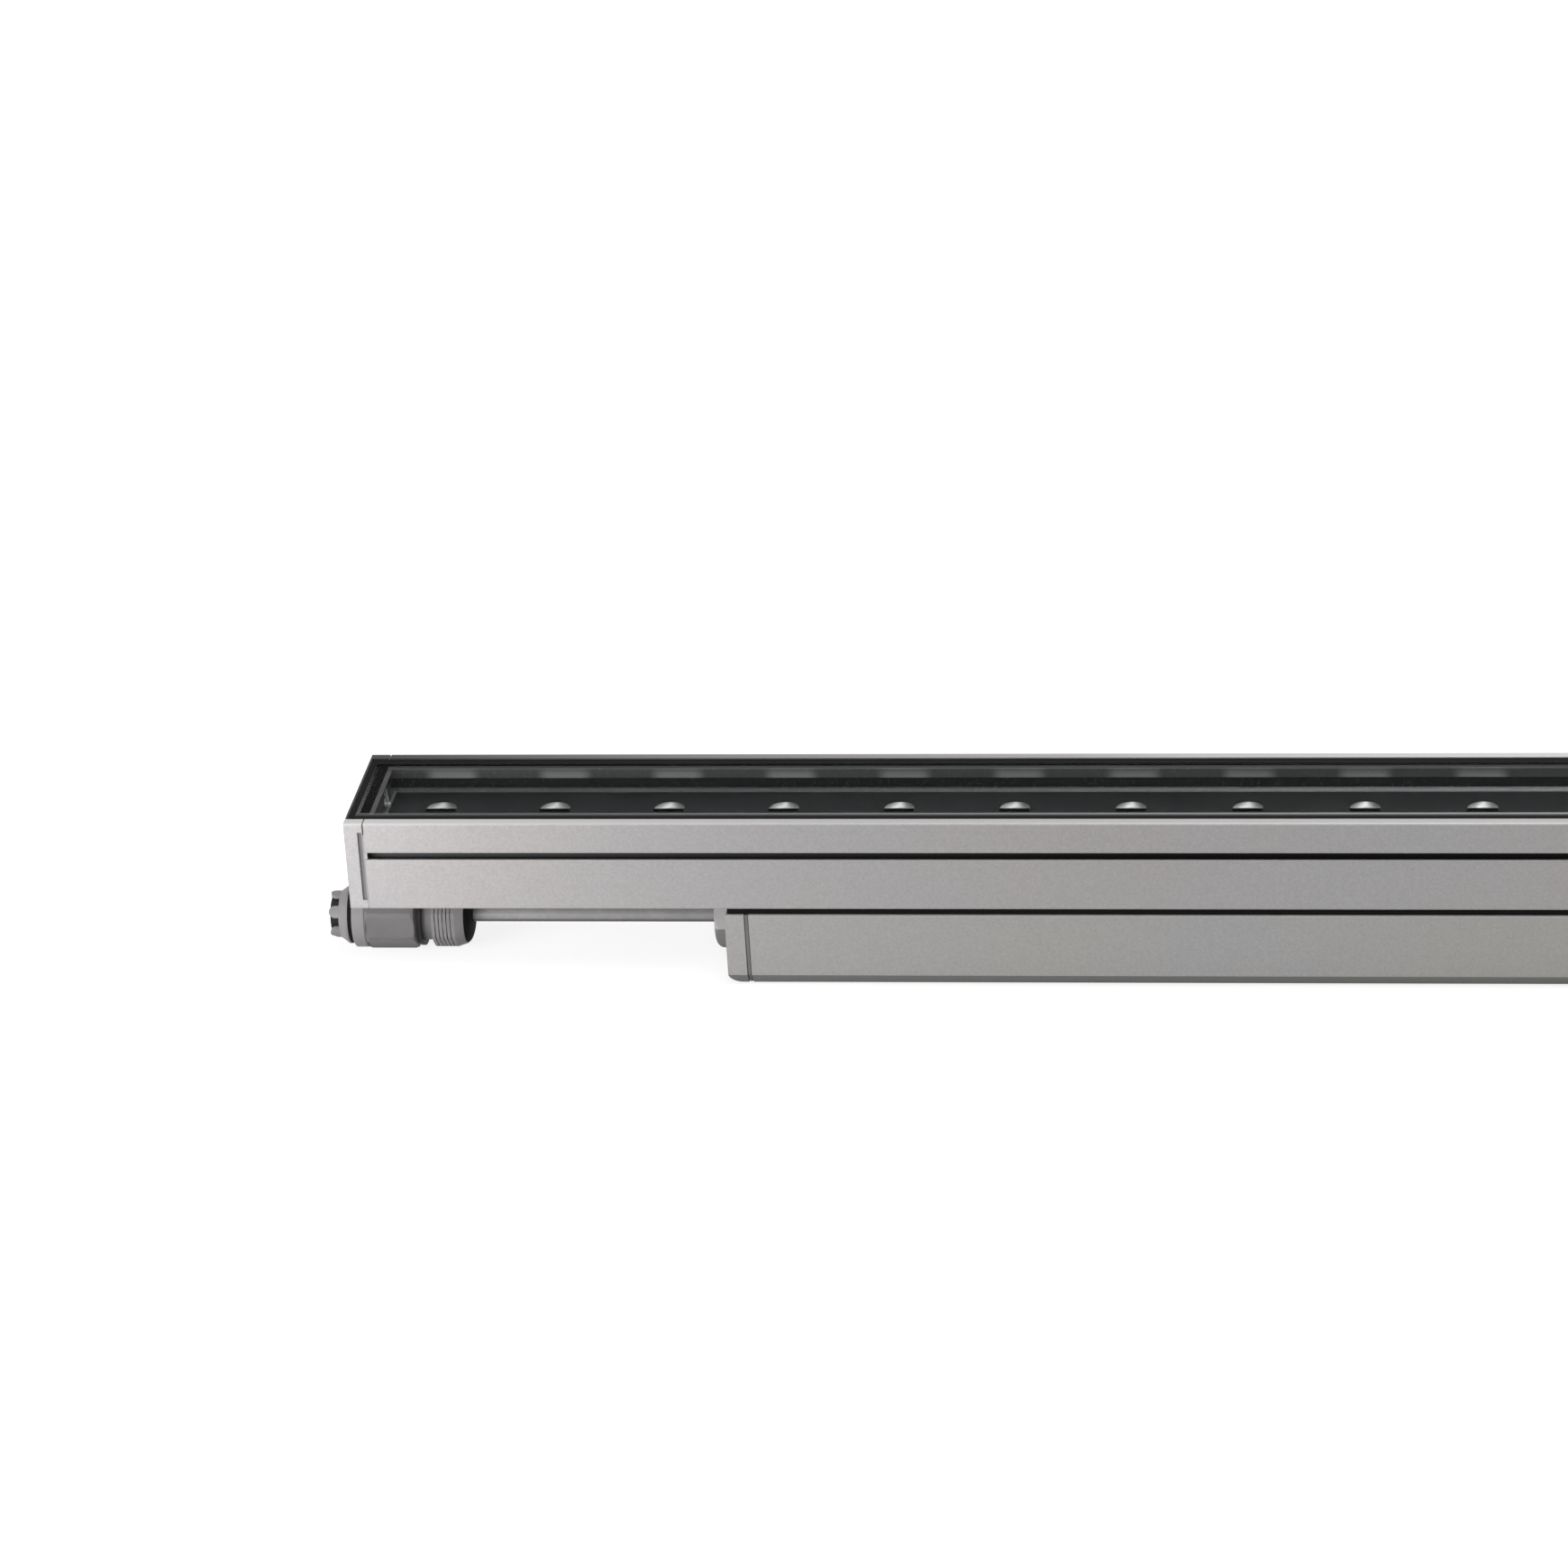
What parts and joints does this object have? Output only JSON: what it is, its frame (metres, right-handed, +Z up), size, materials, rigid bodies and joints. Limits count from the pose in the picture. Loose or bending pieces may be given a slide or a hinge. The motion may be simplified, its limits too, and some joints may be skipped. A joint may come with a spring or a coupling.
{
  "type": "linear wall washer light",
  "caption": "Linear outdoor wall washer: extruded silver head with glass-covered lenses on a slim driver box, with a cable coupling hung under its end.",
  "frame": {"origin": "centre of the driver box's underside", "axes": "+X along the light away from the cable coupling, -Y towards the viewer's side, +Z up out of the glass"},
  "size_m": [0.936, 0.072, 0.0772],
  "materials": {
    "silver_aluminium": "satin anodised, fine speckle",
    "box_aluminium": "satin anodised",
    "screw_steel": "satin",
    "gasket_grey": "matte",
    "inlay_grey": "matte",
    "seal_black": "matte",
    "clear_glass": "polished",
    "black_gloss": "glossy",
    "tray_black": "matte",
    "baffle_grey": "satin",
    "cup_mirror": "polished",
    "lens_clear": "clear, polished",
    "chip_yellow": "matte",
    "board_white": "matte",
    "terminal_pale": "matte",
    "terminal_dark": "matte",
    "driver_white": "satin",
    "tray_steel": "satin",
    "brass_pipe": "satin",
    "cable_grey": "matte",
    "coupling_grey": "matte",
    "contact_brass": "polished"
  },
  "bodies": {
    "light": {"head_profile": "silver_aluminium", "end_cap_left": "silver_aluminium", "end_cap_right": "silver_aluminium", "end_gasket_left": "gasket_grey", "end_gasket_right": "gasket_grey", "end_cap_screws": "screw_steel", "cap_inlays": "inlay_grey", "glass_cover": "clear_glass", "glass_seal": "seal_black", "rear_baffle": "black_gloss", "front_baffle": "black_gloss", "end_baffle_left": "baffle_grey", "end_baffle_right": "baffle_grey", "lens_tray": "tray_black", "reflector_cups": "cup_mirror", "lens_domes": "lens_clear", "led_chips": "chip_yellow", "led_boards": "board_white", "board_screws": "screw_steel", "feed_terminal": "terminal_pale", "driver_housing": "box_aluminium", "driver_cap_left": "box_aluminium", "driver_cap_right": "box_aluminium", "driver_gasket_left": "gasket_grey", "driver_gasket_right": "gasket_grey", "driver_cap_screws": "screw_steel", "gap_strips": "seal_black", "spacer_pads": "seal_black", "hanger_bolts": "screw_steel", "hanger_nuts": "screw_steel", "feed_nipple": "brass_pipe", "feed_locknuts": "brass_pipe", "driver_tray": "tray_steel", "driver_module": "driver_white", "terminal_block": "terminal_dark", "gland_body": "coupling_grey", "gland_nut": "coupling_grey", "gland_seal": "seal_black", "link_cable": "cable_grey", "coupling_shell": "coupling_grey", "coupling_seal_ring": "seal_black", "contact_carrier": "seal_black", "contacts": "contact_brass", "coupling_clip": "seal_black", "clip_screws": "screw_steel", "cable_nut": "coupling_grey", "dome_seal": "seal_black"},
    "ring": {"locking_ring": "coupling_grey"}
  },
  "joints": [
    {"name": "ring_turn", "type": "hinge", "parent": "light", "child": "ring", "pos_m": [-0.4692, 0, 0.017], "axis": [1, 0, 0], "continuous": true}
  ]
}
